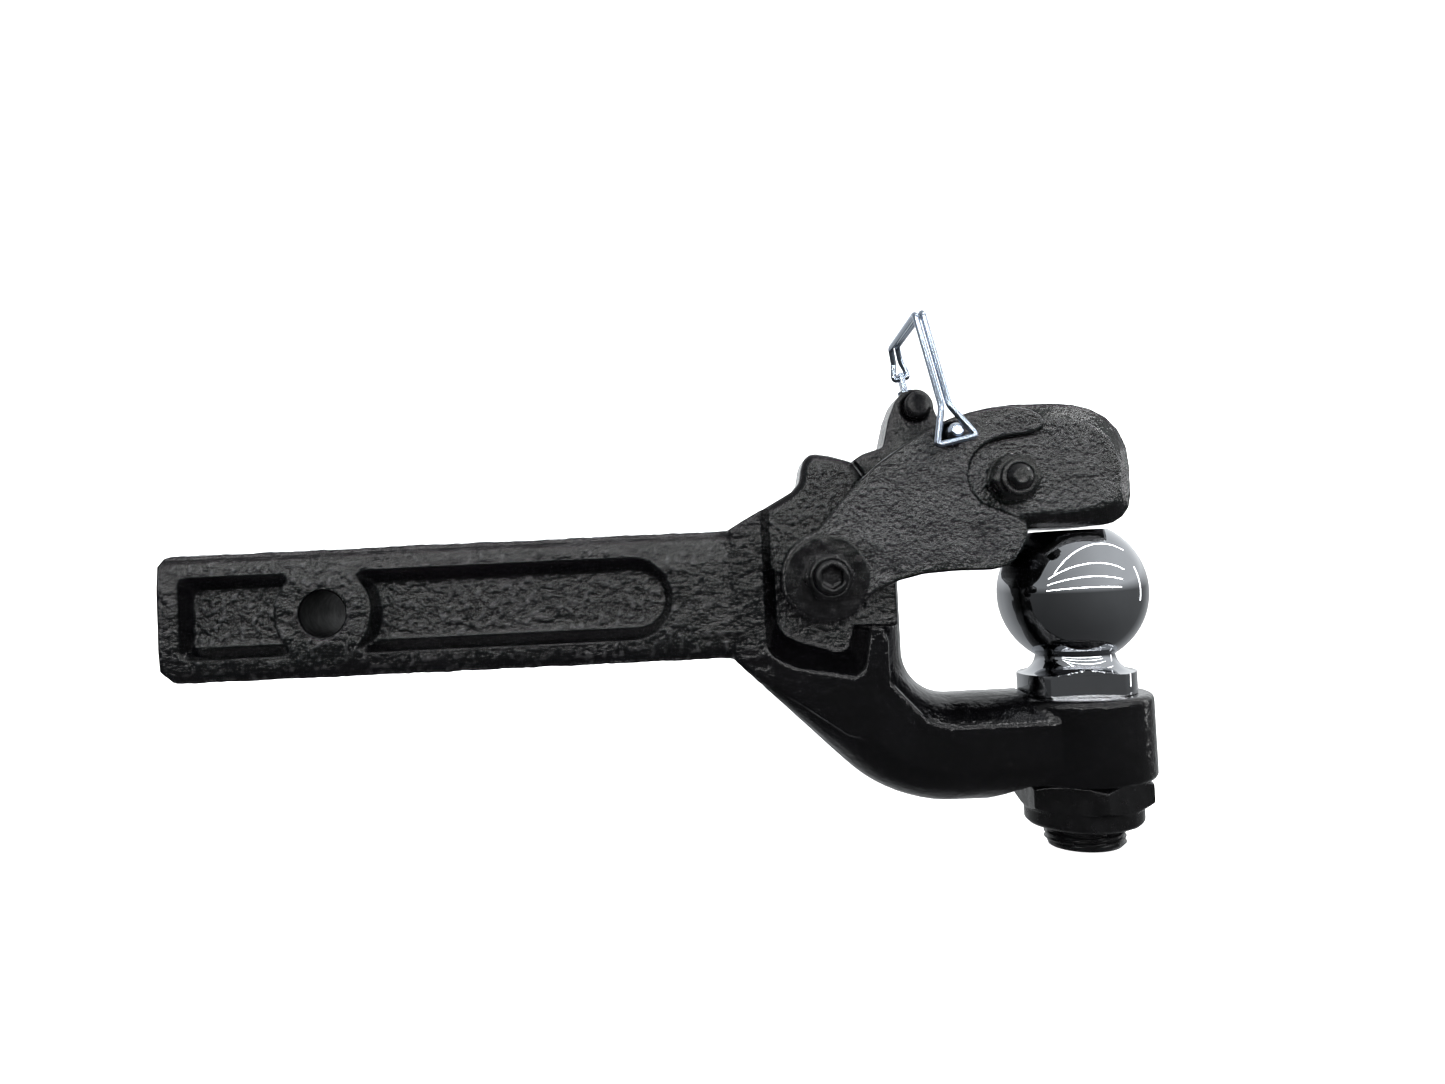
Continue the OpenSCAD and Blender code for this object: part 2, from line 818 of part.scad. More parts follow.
module safety_pin() {
    pin_r = spin_d / 2;
    tip_cone = 2.4;
    head_w = 2.4;
    head_t = 5.2;
    head_top = 36;
    neck = 28;
    color("#cfd6dc")
    head_frame()
    difference() {
        union() {
            rod_y(0, 0, pin_r, -pin_tip + tip_cone, pin_head_y);
            translate([0, -pin_tip, 0])
                rotate([-90, 0, 0])
                    cylinder(h = tip_cone, r1 = pin_r - 0.9, r2 = pin_r);
            translate([0, pin_head_y, 0])
                sphere(r = pin_r);
            translate([0, pin_head_y, 0])
                cylinder(h = neck, r = pin_r);
            translate([-head_w / 2, pin_head_y - head_t / 2, neck - 2])
                cube([head_w, head_t, head_top - neck + 2]);
        }
        translate([-10, pin_head_y, head_eye])
            rotate([0, 90, 0])
                cylinder(h = 20, r = wire_r + run_fit);
    }
}

module wire_bail() {
    top_z = 47.5;
    near_y = -29.5;
    loop_y = -38.7;
    half_gap = wire_r + 0.15;
    // Stations from the eye to the loop: middle across the head, half width there, Y, height
    stations = [
        [0, 0.35, pin_head_y, head_eye],
        [0, 3.2, pin_head_y, head_eye],
        [0, 2.7, pin_head_y, head_eye + 3.6],
        [0, half_gap + 0.15, pin_head_y, head_eye + 7],
        [0, half_gap, pin_head_y - 1.5, top_z],
        [-1, half_gap, near_y, top_z],
        [-2.2, half_gap, loop_y + 1.2, 9.9],
        [-1.5, 7.5, loop_y, -3.8]
    ];
    last = len(stations) - 1;
    whole_path = concat(
        [for (i = [0:last]) let (s = stations[i]) [s[0] - s[1], s[2], s[3]]],
        [for (i = [last:-1:0]) let (s = stations[i]) [s[0] + s[1], s[2], s[3]]]
    );
    color("#cfd6dc")
    head_frame()
        swept_wire(rounded(whole_path, 2, 3), wire_r, 10);
}

hitch_body();
pivot_bush();
pivot_bolt();
pivot_nut();
pivot_nut_insert();
pivot_washers();
tow_ball();
ball_nut();
ball_nut_insert();
jaw();
latch_bolt();
latch_nut();
latch_nut_insert();
latch_washers();
latch_sleeve();
latch_spring();
latch();
latch_handle_bar();
safety_pin();
wire_bail();
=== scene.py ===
"""Looks of a trailer hitch: a pintle hook with a latching jaw, and a chrome tow ball.

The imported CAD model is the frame. The black forging and casting are replaced by finer
copies of themselves with rounded edges and a forged or cast skin. The latch, its bar, the
safety pin and the fasteners are softened copies, the ball is turned and the bail is a bent tube.
Six inner parts keep their CAD meshes. Each material gets procedural detail.
Metres throughout; +X runs from the shank to the ball, +Z is up.
"""
import json
import math

import bmesh
import bpy
import numpy as np
from mathutils import Matrix, Vector, noise
from mathutils.kdtree import KDTree


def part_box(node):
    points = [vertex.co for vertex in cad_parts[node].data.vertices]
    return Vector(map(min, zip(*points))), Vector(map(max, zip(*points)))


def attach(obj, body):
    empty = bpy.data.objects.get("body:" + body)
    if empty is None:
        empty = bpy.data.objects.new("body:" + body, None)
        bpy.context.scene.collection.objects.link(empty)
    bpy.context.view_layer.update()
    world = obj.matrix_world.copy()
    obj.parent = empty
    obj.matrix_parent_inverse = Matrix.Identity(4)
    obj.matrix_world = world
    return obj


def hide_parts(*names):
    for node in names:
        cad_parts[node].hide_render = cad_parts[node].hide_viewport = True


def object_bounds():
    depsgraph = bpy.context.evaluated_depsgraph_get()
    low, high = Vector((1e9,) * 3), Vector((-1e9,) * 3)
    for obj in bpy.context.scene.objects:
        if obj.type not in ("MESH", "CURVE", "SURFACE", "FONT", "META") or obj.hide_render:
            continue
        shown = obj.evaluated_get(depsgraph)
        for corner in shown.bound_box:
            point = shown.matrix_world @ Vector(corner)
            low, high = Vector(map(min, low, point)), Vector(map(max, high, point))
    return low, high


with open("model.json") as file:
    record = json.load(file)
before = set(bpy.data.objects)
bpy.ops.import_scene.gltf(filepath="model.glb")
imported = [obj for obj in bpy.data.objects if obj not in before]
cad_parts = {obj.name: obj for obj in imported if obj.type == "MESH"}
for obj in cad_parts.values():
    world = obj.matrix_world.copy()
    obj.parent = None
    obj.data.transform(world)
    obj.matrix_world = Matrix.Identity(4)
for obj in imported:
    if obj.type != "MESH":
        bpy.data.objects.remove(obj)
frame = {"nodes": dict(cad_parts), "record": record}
cad_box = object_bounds()

MM = 0.001


def node_centre(node):
    """Middle of a CAD node's box."""
    low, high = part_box(node)
    return (low + high) / 2


# Places that other sizes hang on, all read from the frame
MOUNTS = {m["name"]: Vector(m["pos_m"]) for m in frame["record"]["mounts"]}
BALL = MOUNTS["tow_ball"]
PIVOT = node_centre("pivot_bush")
JAW_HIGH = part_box("jaw")[1]

# ---------------------------------------------------------------- mesh helpers

WELD_GAP = 0.002 * MM
RELAX_SHARE = 0.5


def new_object(name, mesh):
    piece = bpy.data.objects.new(name, mesh)
    bpy.context.scene.collection.objects.link(piece)
    return piece


def coordinates(mesh):
    co = np.empty(len(mesh.vertices) * 3, np.float32)
    mesh.vertices.foreach_get("co", co)
    return co.reshape(-1, 3).astype(float)


def set_coordinates(mesh, co):
    mesh.vertices.foreach_set("co", np.asarray(co, np.float32).ravel())
    mesh.update()


def vertex_normals(mesh):
    no = np.empty(len(mesh.vertices) * 3, np.float32)
    mesh.vertex_normals.foreach_get("vector", no)
    return no.reshape(-1, 3).astype(float)


def shade_smooth(mesh):
    mesh.polygons.foreach_set("use_smooth", np.ones(len(mesh.polygons), bool))
    mesh.update()


def applied(piece, kind, **settings):
    """The piece with one modifier worked into its mesh."""
    modifier = piece.modifiers.new(kind.lower(), kind)
    for key, value in settings.items():
        setattr(modifier, key, value)
    graph = bpy.context.evaluated_depsgraph_get()
    mesh = bpy.data.meshes.new_from_object(piece.evaluated_get(graph), depsgraph=graph)
    piece.modifiers.clear()
    piece.data = mesh
    return piece


def relaxed(co, edges, steps):
    """Points moved towards the mean of their neighbours, steps times over."""
    count = np.bincount(edges.ravel(), minlength=len(co)).astype(float)[:, None]
    for _ in range(steps):
        total = np.zeros_like(co)
        for axis in range(3):
            total[:, axis] = np.bincount(edges[:, 0], co[edges[:, 1], axis], len(co))
            total[:, axis] += np.bincount(edges[:, 1], co[edges[:, 0], axis], len(co))
        co = co + RELAX_SHARE * (total / count - co)
    return co


def mesh_edges(mesh):
    edges = np.empty(len(mesh.edges) * 2, np.int32)
    mesh.edges.foreach_get("vertices", edges)
    return edges.reshape(-1, 2)


def fine_copy(node, name, voxel):
    """A closed, even mesh of a CAD node, fine enough to carry surface detail."""
    piece = new_object(name, frame["nodes"][node].data.copy())
    piece.data.materials.clear()
    net = bmesh.new()
    net.from_mesh(piece.data)
    bmesh.ops.remove_doubles(net, verts=net.verts, dist=WELD_GAP)
    net.to_mesh(piece.data)
    net.free()
    return applied(piece, "REMESH", mode="VOXEL", voxel_size=voxel, adaptivity=0.0)


def store(mesh, name, values):
    """A number at each vertex, for a material to read."""
    attribute = mesh.attributes.new(name, "FLOAT", "POINT")
    attribute.data.foreach_set("value", np.asarray(values, np.float32))


def ramp(x, low, high):
    """0 below low, 1 above high and smooth between; low may be the larger."""
    t = np.clip((x - low) / (high - low), 0, 1)
    return t * t * (3 - 2 * t)


def pebbles(co, size, seed):
    """Smooth bumps about size across, from -1 to 1."""
    shift = Vector((seed * 7.3, seed * 3.1, seed * 5.7))
    return np.array([noise.noise(Vector(p) / size + shift) for p in co])


# ---------------------------------------------------------------- node helpers


class Nodes:
    """Short calls for building a material's node tree."""

    def __init__(self, name, world=False):
        holder = bpy.data.worlds.new(name) if world else bpy.data.materials.new(name)
        holder.use_nodes = True
        self.holder = holder
        self.tree = holder.node_tree
        self.tree.nodes.clear()

    def add(self, kind, inputs=None, **settings):
        node = self.tree.nodes.new(kind)
        for key, value in settings.items():
            setattr(node, key, value)
        for key, value in (inputs or {}).items():
            self.feed(node.inputs[key], value)
        return node

    def feed(self, socket, value):
        if isinstance(value, bpy.types.NodeSocket):
            self.tree.links.new(value, socket)
        else:
            socket.default_value = value

    def place(self):
        return self.add("ShaderNodeTexCoord").outputs["Object"]

    def noise(self, vector, scale, detail=3.0, rough=0.55, distortion=0.0):
        return self.add("ShaderNodeTexNoise", {
            "Vector": vector, "Scale": scale, "Detail": detail,
            "Roughness": rough, "Distortion": distortion}).outputs["Fac"]

    def math(self, operation, a, b=0.0, clamp=False):
        node = self.add("ShaderNodeMath", operation=operation, use_clamp=clamp)
        self.feed(node.inputs[0], a)
        self.feed(node.inputs[1], b)
        return node.outputs[0]

    def range(self, value, low, high, to_low, to_high):
        return self.add("ShaderNodeMapRange", {
            "Value": value, "From Min": low, "From Max": high,
            "To Min": to_low, "To Max": to_high}).outputs[0]

    def attribute(self, name):
        return self.add("ShaderNodeAttribute", attribute_name=name).outputs["Fac"]

    def mix(self, factor, a, b):
        node = self.add("ShaderNodeMix", {"Factor": factor}, data_type="RGBA")
        self.feed(node.inputs["A"], a)
        self.feed(node.inputs["B"], b)
        return node.outputs["Result"]

    def bump(self, height, distance, strength=1.0):
        return self.add("ShaderNodeBump", {
            "Height": height, "Distance": distance, "Strength": strength}).outputs["Normal"]

    def shader(self, inputs):
        shader = self.add("ShaderNodeBsdfPrincipled", inputs)
        output = self.add("ShaderNodeOutputMaterial")
        self.tree.links.new(shader.outputs[0], output.inputs[0])
        return self.holder


# Paler tint painted on the tops of the grain bumps: a painted highlight standing in for glints
PAINTED_GLINT_TINT = (0.012, 0.012, 0.0125)
WHITE = (1, 1, 1, 1)
# Dark tint of the bore's reflections: painted shade
BORE_SHADE_TINT = (0.08, 0.08, 0.08, 1)
DULL_ROUGH = 0.5
FINE_SHARE = 0.35
WAVE_SHARE = 0.5
FILM_SHARE = 0.12
WORN_SHARE = 0.6


def enamel(name, grain_size, grain_depth, colour, smooth_rough, grain_rough, gloss):
    """Glossy black enamel over a forged or cast skin. The mesh says where the grain is, where paler
    painted glints go on the grain's tops, and where the bore gets rougher paint with painted shade
    on its reflections.
    """
    n = Nodes(name)
    place = n.place()
    grain = n.attribute("grain")
    coarse = n.noise(place, 1 / grain_size, 2.0, 0.5, 0.4)
    fine = n.noise(place, 2.2 / grain_size, 1.0, 0.5)
    waves = n.noise(place, 0.18 / grain_size, 3.0, 0.5)
    film = n.noise(place, 0.55 / grain_size, 2.0, 0.5)
    skin = n.math("MULTIPLY", n.math("ADD", coarse, n.math("MULTIPLY", fine, FINE_SHARE)), grain)
    runs = n.math("ADD", n.math("MULTIPLY", waves, WAVE_SHARE), n.math("MULTIPLY", film, FILM_SHARE))
    height = n.math("ADD", skin, runs)
    worn = n.range(n.noise(place, 60.0, 4.0, 0.6), 0.45, 0.75, 0.0, 1.0)
    paler = [2.0 * c for c in colour]
    tone = n.mix(n.math("MULTIPLY", worn, WORN_SHARE), (*colour, 1), (*paler, 1))
    # Painted highlight: the tops of the grain bumps turn paler, standing in for glints of light
    painted_glints = n.range(n.attribute("painted_glint_crest"), 0.05, 0.45, 0.0, 1.0)
    tone = n.mix(painted_glints, tone, (*PAINTED_GLINT_TINT, 1))
    haze = n.range(n.noise(place, 210.0, 3.0, 0.6), 0.35, 0.7, -0.02, 0.07)
    # In the pin's bore the paint is rougher, and its reflections are tinted dark as painted shade
    rough_and_shaded_bore = n.attribute("rough_and_shaded_bore")
    rough = n.math("ADD", n.range(grain, 0.0, 1.0, smooth_rough, grain_rough), haze)
    rough = n.math("ADD", rough, n.math("MULTIPLY", rough_and_shaded_bore, DULL_ROUGH), clamp=True)
    return n.shader({
        "Base Color": tone, "Roughness": rough,
        "Specular IOR Level": n.range(grain, 0.1, 0.7, 0.55 * gloss, gloss),
        "Specular Tint": n.mix(rough_and_shaded_bore, WHITE, BORE_SHADE_TINT),
        "Normal": n.bump(height, grain_depth)})


def plated(name, colour, roughness, bump_depth, streak):
    """Bright plated metal with faint handling marks."""
    n = Nodes(name)
    place = n.place()
    marks = n.noise(place, streak, 5.0, 0.65, 0.6)
    haze = n.noise(place, 90.0, 3.0, 0.5)
    rough = n.math("ADD", roughness, n.range(marks, 0.45, 0.8, 0.0, 0.10 * (roughness + 0.12)))
    dim = [0.86 * c for c in colour]
    tone = n.mix(n.range(haze, 0.35, 0.7, 0.0, 0.5), (*colour, 1), (*dim, 1))
    return n.shader({
        "Base Color": tone, "Metallic": 1.0, "Roughness": rough,
        "Normal": n.bump(marks, bump_depth, 0.5)})


FASTENER_BLACK = (0.0014, 0.0014, 0.0016, 1)
FASTENER_PALE = (0.003, 0.003, 0.0033, 1)
NYLON_DARK = (0.01, 0.013, 0.02, 1)
NYLON_PALE = (0.018, 0.022, 0.032, 1)


def paint_fasteners():
    n = Nodes("black_fastener_paint")
    place = n.place()
    skin = n.noise(place, 700.0, 3.0, 0.6)
    drips = n.noise(place, 140.0, 2.0, 0.5)
    height = n.math("ADD", n.math("MULTIPLY", skin, 0.4), drips)
    rough = n.range(n.noise(place, 260.0, 3.0, 0.6), 0.35, 0.7, 0.14, 0.3)
    tone = n.mix(n.range(drips, 0.4, 0.7, 0, 1), FASTENER_BLACK, FASTENER_PALE)
    return n.shader({
        "Base Color": tone, "Roughness": rough, "Specular IOR Level": 0.4,
        "Normal": n.bump(height, 0.1 * MM)})


def nylon():
    n = Nodes("lock_ring_nylon")
    place = n.place()
    tone = n.mix(n.noise(place, 400.0), NYLON_DARK, NYLON_PALE)
    return n.shader({
        "Base Color": tone, "Roughness": 0.5,
        "Normal": n.bump(n.noise(place, 1500.0), 0.05 * MM)})


BODY_BLACK = (0.0012, 0.0012, 0.0014)
JAW_BLACK = (0.0018, 0.0018, 0.0020)
BODY_PAINT = enamel("body_enamel_forged", 1.7 * MM, 0.8 * MM, BODY_BLACK, 0.08, 0.14, 0.5)
JAW_PAINT = enamel("jaw_enamel_cast", 1.6 * MM, 0.8 * MM, JAW_BLACK, 0.09, 0.15, 0.72)
LATCH_PAINT = enamel("latch_enamel", 1.5 * MM, 0.4 * MM, JAW_BLACK, 0.12, 0.2, 0.5)
FASTENER_PAINT = paint_fasteners()
CHROME = plated("ball_chrome", (0.42, 0.43, 0.45), 0.03, 0.004 * MM, 500.0)
ZINC = plated("zinc_plate", (0.40, 0.46, 0.55), 0.14, 0.02 * MM, 900.0)
STEEL = plated("oiled_steel", (0.42, 0.42, 0.43), 0.32, 0.03 * MM, 1200.0)
NYLON = nylon()


def finish_piece(piece, body, slot, material, *nodes):
    """Material and body of a piece, and the CAD nodes it stands for. The slot argument is not used.
    """
    piece.data.materials.clear()
    piece.data.materials.append(material)
    shade_smooth(piece.data)
    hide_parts(*nodes)
    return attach(piece, body)


def body_of(node):
    groups = frame["record"]["behaviour"]["bodies"]
    return next(body for body, members in groups.items() if node in members)


def slot_of(node):
    return next(s["material_slot"] for s in frame["record"]["subparts"] if s["node"] == node)


# ---------------------------------------------------------------- forgings

# Taken off every bump, which runs from -1 to 1, so that most of them go inwards
SINK = 0.55


def bumped(co, no, weight, amount, size, seed):
    """Points pushed along their normals by smooth bumps, mostly inwards, where there is weight."""
    live = weight > 0.02
    push = np.zeros(len(co))
    push[live] = (pebbles(co[live], size, seed) - SINK) * weight[live] * amount
    return co + no * push[:, None]


def rounded_edge(co, no, face, radius, wall_from, wall_to, keep):
    """Points by the edge between a face at |Y| = face and the walls round it, moved onto a round.

    The walls are looked for between wall_from and wall_to, which are distances from Y = 0.
    """
    side = np.abs(co[:, 1])
    wall = keep & (np.abs(no[:, 1]) < 0.2) & (side > wall_from) & (side < wall_to)
    spots = np.flatnonzero(wall)
    tree = KDTree(len(spots))
    for i in spots:
        tree.insert((co[i, 0], 0, co[i, 2]), int(i))
    tree.balance()
    out = co.copy()
    for i in np.flatnonzero(keep & (side > face - radius) & (side < face + 0.5 * MM)):
        _, k, _ = tree.find((co[i, 0], 0, co[i, 2]))
        outward = np.array((no[k, 0], no[k, 2]))
        outward /= np.linalg.norm(outward)
        depth = float(np.dot(co[k, [0, 2]] - co[i, [0, 2]], outward))
        inset = face - side[i]
        if depth > radius:
            continue
        reach = math.hypot(depth - radius, inset - radius)
        if reach < 0.3 * radius:
            continue
        new_depth = radius + (depth - radius) * radius / reach
        new_inset = radius + (inset - radius) * radius / reach
        out[i, [0, 2]] -= (new_depth - depth) * outward
        out[i, 1] = math.copysign(face - new_inset, co[i, 1])
    return out


SHANK_HALF = 25.0 * MM
SHANK_END_X = 157.0 * MM
POCKET_FLOOR = 17.0 * MM
RECESS_X = 170.0 * MM
WEB_HALF = 14.0 * MM
TOOTH_ROUND = 4.6 * MM
FACE_CROWN = 1.3 * MM
BODY_GRAIN = 2.1 * MM
JAW_GRAIN = 1.8 * MM
PIN_HOLE_R = 8.75 * MM
BODY_VOXEL = 0.75 * MM
JAW_VOXEL = 0.55 * MM
TOOTH_REACH = 26 * MM
TOOTH_RISE = 18 * MM
CHEEK_ROUND = 1.5 * MM
# How far a normal's Y has to go for a surface to count as a side face
FLAT_FROM, FLAT_TO = 0.80, 0.97
# Grain, from 0 on smooth paint to 1 in the pockets
LEAST_GRAIN = 0.16
WEB_GRAIN = 0.9
CHEEK_GRAIN = 0.75
BAR_GRAIN = 0.6
SHOULDER_GRAIN = 0.45
SMALL_PART_GRAIN = 0.4


def forged_body():
    piece = fine_copy("hitch_body", "hitch_forging", BODY_VOXEL)
    mesh = piece.data
    edges = mesh_edges(mesh)
    co = coordinates(mesh)
    no = vertex_normals(mesh)
    tooth = (co[:, 0] > RECESS_X) & (co[:, 0] < PIVOT.x + TOOTH_REACH)
    tooth &= co[:, 2] > PIVOT.z + TOOTH_RISE
    co = rounded_edge(co, no, WEB_HALF, TOOTH_ROUND, 0.0, 6 * MM, tooth)
    co = relaxed(co, edges, 2)
    crown = ramp(co[:, 0], SHANK_END_X + MM, SHANK_END_X - 6 * MM) * FACE_CROWN
    crown *= ramp(np.abs(co[:, 1]), SHANK_HALF - 3 * MM, SHANK_HALF - MM)
    co[:, 1] -= np.sign(co[:, 1]) * crown * ramp(np.abs(co[:, 2]), 10 * MM, SHANK_HALF)
    set_coordinates(mesh, co)
    no = vertex_normals(mesh)
    x, y, z = co.T
    side = np.abs(y)
    flat = ramp(np.abs(no[:, 1]), FLAT_FROM, FLAT_TO)
    shank = ramp(x, SHANK_END_X + 3 * MM, SHANK_END_X - 2 * MM)
    pocket = shank * ramp(side, POCKET_FLOOR + 4 * MM, POCKET_FLOOR + MM)
    cheek = shank * (1 - pocket) * flat
    bars = shank * ramp(np.abs(z), SHANK_HALF - 4 * MM, SHANK_HALF - MM)
    web = ramp(x, RECESS_X - MM, RECESS_X + 2 * MM) * ramp(side, WEB_HALF + MM, WEB_HALF + 0.5 * MM)
    web *= flat * ramp(z, -30 * MM, -24 * MM)
    shoulder = (1 - shank) * ramp(x, RECESS_X + 2 * MM, RECESS_X) * SHOULDER_GRAIN
    grain = LEAST_GRAIN + (1 - LEAST_GRAIN) * np.maximum(pocket * flat, WEB_GRAIN * web)
    grain = np.maximum(grain, CHEEK_GRAIN * cheek)
    grain = np.maximum(grain, np.maximum(BAR_GRAIN * bars, shoulder))
    grain *= 0.85 + 0.35 * pebbles(co, 14 * MM, 2)
    bore = ramp(np.hypot(x, z), PIN_HOLE_R + 0.6 * MM, PIN_HOLE_R + 0.2 * MM)
    grain *= 1 - bore
    # The pin's bore: rougher paint, and painted shade on its reflections
    store(mesh, "rough_and_shaded_bore", bore)
    # Where the painted glints go: the tops of the grain bumps
    store(mesh, "painted_glint_crest", grain * pebbles(co, BODY_GRAIN, 5))
    co = bumped(co, no, grain, 0.45 * MM, BODY_GRAIN, 5)
    co = bumped(co, no, np.maximum(cheek, bars), 0.3 * MM, 6.0 * MM, 9)
    co = bumped(co, no, np.ones(len(co)), 0.12 * MM, 15.0 * MM, 4)
    set_coordinates(mesh, co)
    store(mesh, "grain", grain)
    return finish_piece(piece, "hitch", "body_enamel", BODY_PAINT, "hitch_body")


def cast_jaw():
    piece = fine_copy("jaw", "jaw_casting", JAW_VOXEL)
    mesh = piece.data
    edges = mesh_edges(mesh)
    co = coordinates(mesh)
    no = vertex_normals(mesh)
    face = JAW_HIGH.y
    everywhere = np.ones(len(co), bool)
    co = rounded_edge(co, no, face, CHEEK_ROUND, WEB_HALF + 2 * MM, face - 3 * MM, everywhere)
    co = relaxed(co, edges, 2)
    set_coordinates(mesh, co)
    no = vertex_normals(mesh)
    flat = ramp(np.abs(no[:, 1]), FLAT_FROM, FLAT_TO)
    grain = (0.2 + 0.6 * flat) * (0.85 + 0.5 * pebbles(co, 9 * MM, 3))
    # Where the painted glints go: the tops of the grain bumps
    store(mesh, "painted_glint_crest", 0.6 * grain * pebbles(co, JAW_GRAIN, 6))
    co = bumped(co, no, grain, 0.26 * MM, JAW_GRAIN, 6)
    co = bumped(co, no, np.ones(len(co)), 0.34 * MM, 10.0 * MM, 7)
    set_coordinates(mesh, co)
    store(mesh, "grain", grain)
    return finish_piece(piece, "jaw", "jaw_enamel", JAW_PAINT, "jaw")


def softened(node, voxel, material, steps, waves):
    """A small part with its edges rounded over, as under thick paint."""
    piece = fine_copy(node, node + "_fine", voxel)
    mesh = piece.data
    co = relaxed(coordinates(mesh), mesh_edges(mesh), steps)
    set_coordinates(mesh, co)
    if waves:
        co = bumped(co, vertex_normals(mesh), np.ones(len(co)), waves, 4 * MM, 8)
        set_coordinates(mesh, co)
    store(mesh, "grain", np.full(len(co), SMALL_PART_GRAIN))
    return finish_piece(piece, body_of(node), slot_of(node), material, node)


# ---------------------------------------------------------------- tow ball, turned


def arc_points(middle_r, middle_z, radius, start, stop, count):
    """(radius, height) points along an arc of a profile; angles in degrees."""
    angles = np.radians(np.linspace(start, stop, count))
    return [(middle_r + radius * math.cos(a), middle_z + radius * math.sin(a)) for a in angles]


def filleted(points, radius, count=4):
    """A profile with its inner corners rounded."""
    out = [points[0]]
    for before, point, after in zip(points, points[1:], points[2:]):
        p = np.array(point)
        a = np.array(before) - p
        b = np.array(after) - p
        reach = min(radius, 0.45 * np.linalg.norm(a), 0.45 * np.linalg.norm(b))
        a = p + a / np.linalg.norm(a) * reach
        b = p + b / np.linalg.norm(b) * reach
        out += [tuple((1 - t) ** 2 * a + 2 * t * (1 - t) * p + t * t * b)
                for t in np.linspace(0, 1, count)]
    return out + [points[-1]]


def turned(name, profile, axis, segments, reshape=None):
    """A closed solid turned about the vertical line through axis, top first."""
    angles = np.linspace(0, 2 * math.pi, segments, endpoint=False)
    rings = np.array([[(r * math.cos(a), r * math.sin(a), z) for a in angles] for r, z in profile])
    co = rings.reshape(-1, 3)
    if reshape is not None:
        co = reshape(co)
    faces = [list(range(segments))]
    for k in range(len(profile) - 1):
        for i in range(segments):
            j = (i + 1) % segments
            faces.append((k * segments + i, (k + 1) * segments + i,
                          (k + 1) * segments + j, k * segments + j))
    last = (len(profile) - 1) * segments
    faces.append([last + i for i in reversed(range(segments))])
    mesh = bpy.data.meshes.new(name)
    mesh.from_pydata((co + np.array((axis.x, axis.y, axis.z))).tolist(), [], faces)
    mesh.update()
    return new_object(name, mesh)


BALL_R = 58.74 / 2 * MM
BALL_FLAT = 25.0 * MM
NECK_R = 15.5 * MM
FLARE_R = 7.7 * MM
BASE_R = 23.2 * MM
SEAT_DROP = 40.5 * MM
BASE_HEIGHT = 8.6 * MM
WRENCH_FLAT = 18.2 * MM
FLAT_HEIGHT = 13.4 * MM
FLAT_TURN = math.radians(-5)
STUD_R = 31.75 / 2 * MM
STUD_DROP = 101.3 * MM
THREAD_DROP = 91.6 * MM
THREAD_PITCH = 2.12 * MM
# A ring this small closes a turned piece at its axis
AXIS_R = 0.001 * MM
FLARE_Z = -24.3 * MM
NECK_TOP_Z = 17.2 * MM - SEAT_DROP + MM + 0.2 * MM
CHROME_DROP = 20 * MM
STUD_TOP_DROP = 20.2 * MM
STUD_CHAMFER = 1.5 * MM


def wrench_flats(co):
    """The two flats milled on the ball's base."""
    x = co[:, 0] * math.cos(FLAT_TURN) + co[:, 1] * math.sin(FLAT_TURN)
    y = co[:, 1] * math.cos(FLAT_TURN) - co[:, 0] * math.sin(FLAT_TURN)
    low = (co[:, 2] < FLAT_HEIGHT - SEAT_DROP) & (co[:, 2] > -SEAT_DROP - 0.1 * MM)
    y = np.where(low, np.clip(y, -WRENCH_FLAT, WRENCH_FLAT), y)
    out = co.copy()
    out[:, 0] = x * math.cos(FLAT_TURN) - y * math.sin(FLAT_TURN)
    out[:, 1] = x * math.sin(FLAT_TURN) + y * math.cos(FLAT_TURN)
    return out


def threaded(co):
    """A screw thread cut into the stud's lower end."""
    angle = np.arctan2(co[:, 1], co[:, 0])
    radius = np.hypot(co[:, 0], co[:, 1])
    turn = (co[:, 2] / THREAD_PITCH - angle / (2 * math.pi)) % 1.0
    depth = 0.55 * THREAD_PITCH * (1 - np.abs(2 * turn - 1))
    on_thread = ramp(co[:, 2], -THREAD_DROP + MM, -THREAD_DROP)
    share = 1 - depth * on_thread / np.maximum(radius, MM)
    share = np.where(radius > STUD_R - 1.2 * MM, share, 1.0)
    out = co.copy()
    out[:, 0] *= share
    out[:, 1] *= share
    return out


